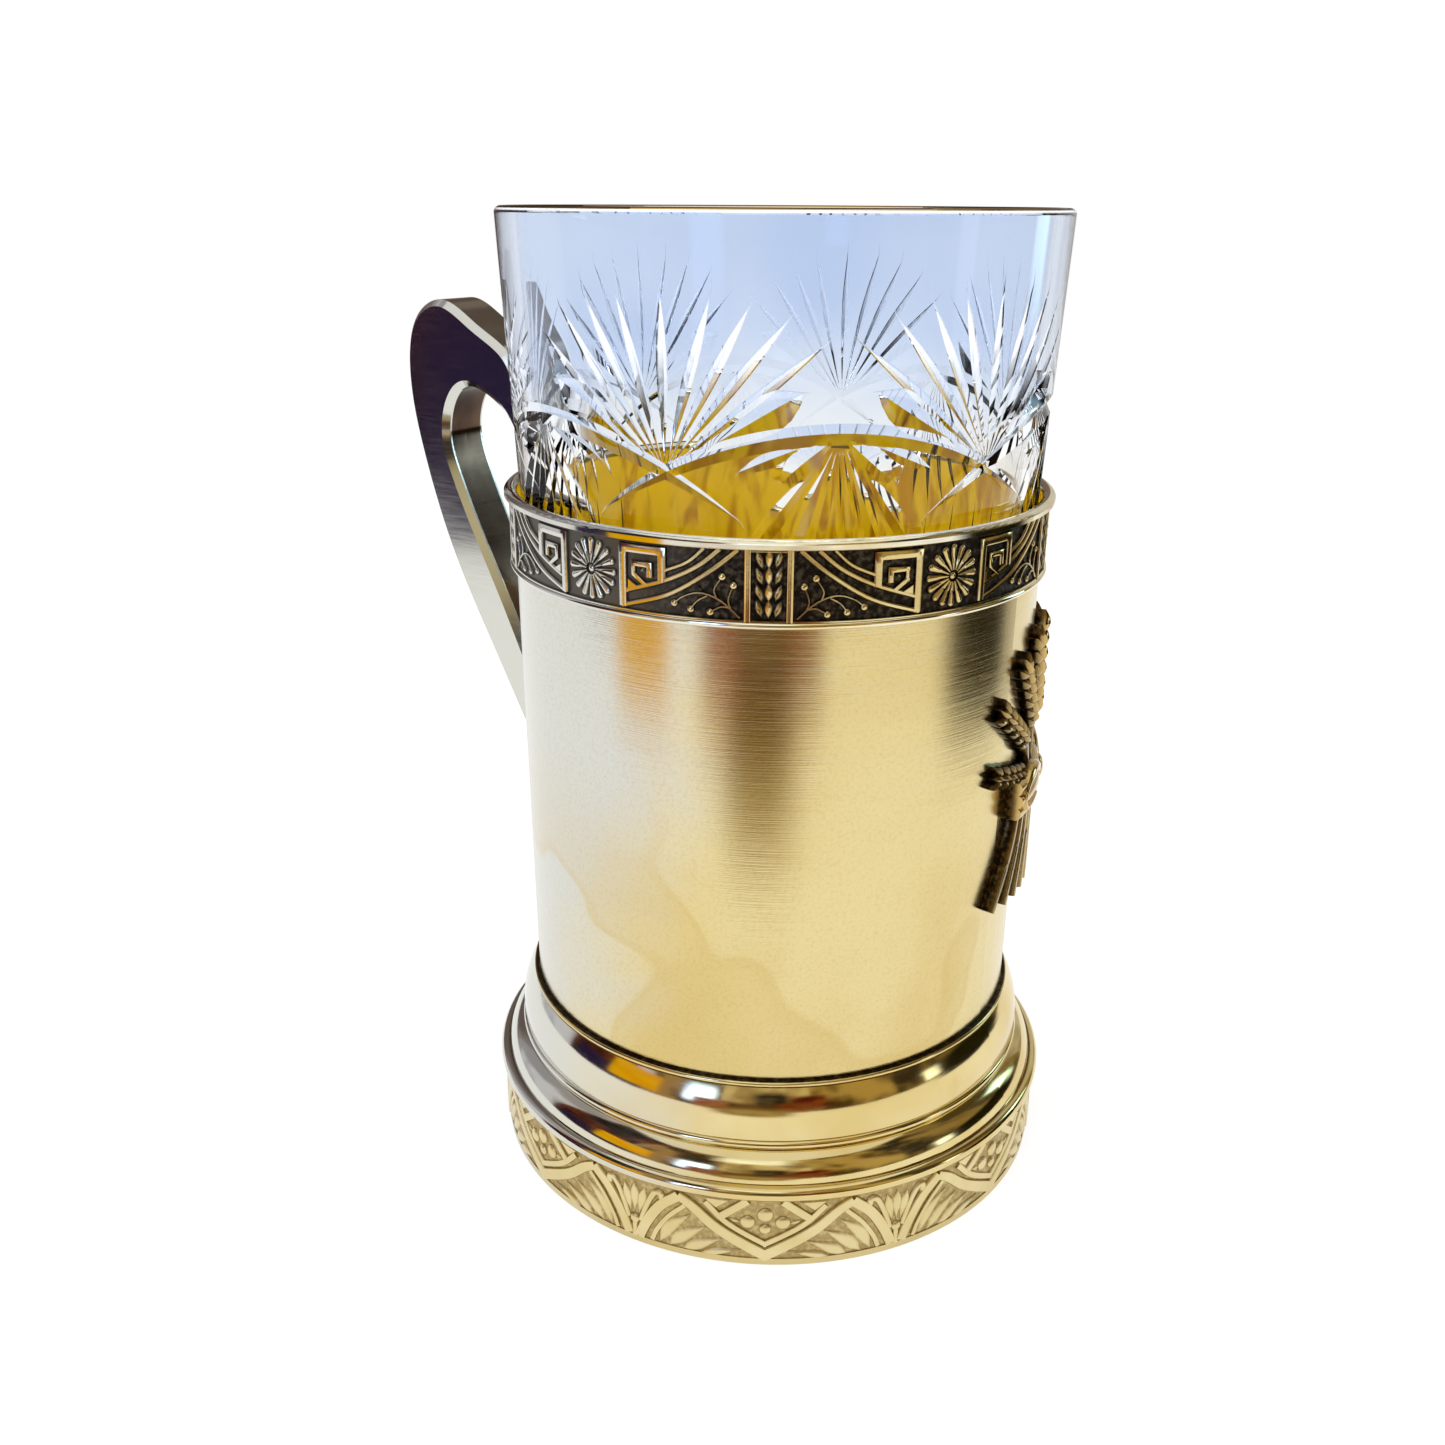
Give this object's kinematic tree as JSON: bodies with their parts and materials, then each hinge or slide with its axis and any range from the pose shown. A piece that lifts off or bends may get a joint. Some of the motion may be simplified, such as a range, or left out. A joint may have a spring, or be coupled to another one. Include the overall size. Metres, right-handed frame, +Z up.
{
  "type": "podstakannik tea glass holder",
  "caption": "Metal tea glass holder with a spun foot, ornament bands, an ear-shaped hollow handle and an applied wheat sheaf, holding a tapered cut-glass tumbler that lifts out.",
  "frame": {"origin": "on the axis of the holder, on the table under the foot", "axes": "+Z up along the axis of the holder, the handle along -X, +Y to the left of the handle seen from it"},
  "size_m": [0.1029, 0.0794, 0.1266],
  "materials": {
    "crystal": "clear polished, cut",
    "pale_gilt_satin": "satin, finely brushed, light tarnish",
    "pale_gilt_polished": "mirror polished",
    "pale_gilt_matte": "matte struck relief",
    "blackened_gilt": "struck relief, blackened in the recesses",
    "yellow_gilt": "gilded, satin"
  },
  "bodies": {
    "holder": {"body_sleeve": "pale_gilt_satin", "frieze_band": "blackened_gilt", "rim_wire": "pale_gilt_polished", "frieze_wire": "pale_gilt_polished", "floor_disc": "yellow_gilt", "foot_collar": "pale_gilt_polished", "foot_shell": "pale_gilt_polished", "foot_bead": "pale_gilt_polished", "foot_band": "pale_gilt_matte", "foot_ring": "pale_gilt_matte", "handle_left_cheek": "pale_gilt_polished", "handle_right_cheek": "pale_gilt_polished", "handle_outer_strip": "pale_gilt_polished", "handle_inner_strip": "pale_gilt_polished", "handle_upper_joint": "pale_gilt_satin", "handle_lower_joint": "pale_gilt_satin", "applique_sheaf": "blackened_gilt", "applique_rivets": "yellow_gilt"},
    "tumbler": {"glass_tumbler": "crystal"}
  },
  "joints": [
    {"name": "tumbler_lift", "type": "slide", "parent": "holder", "child": "tumbler", "axis": [0, 0, 1], "range_m": [0, 0.09]}
  ]
}
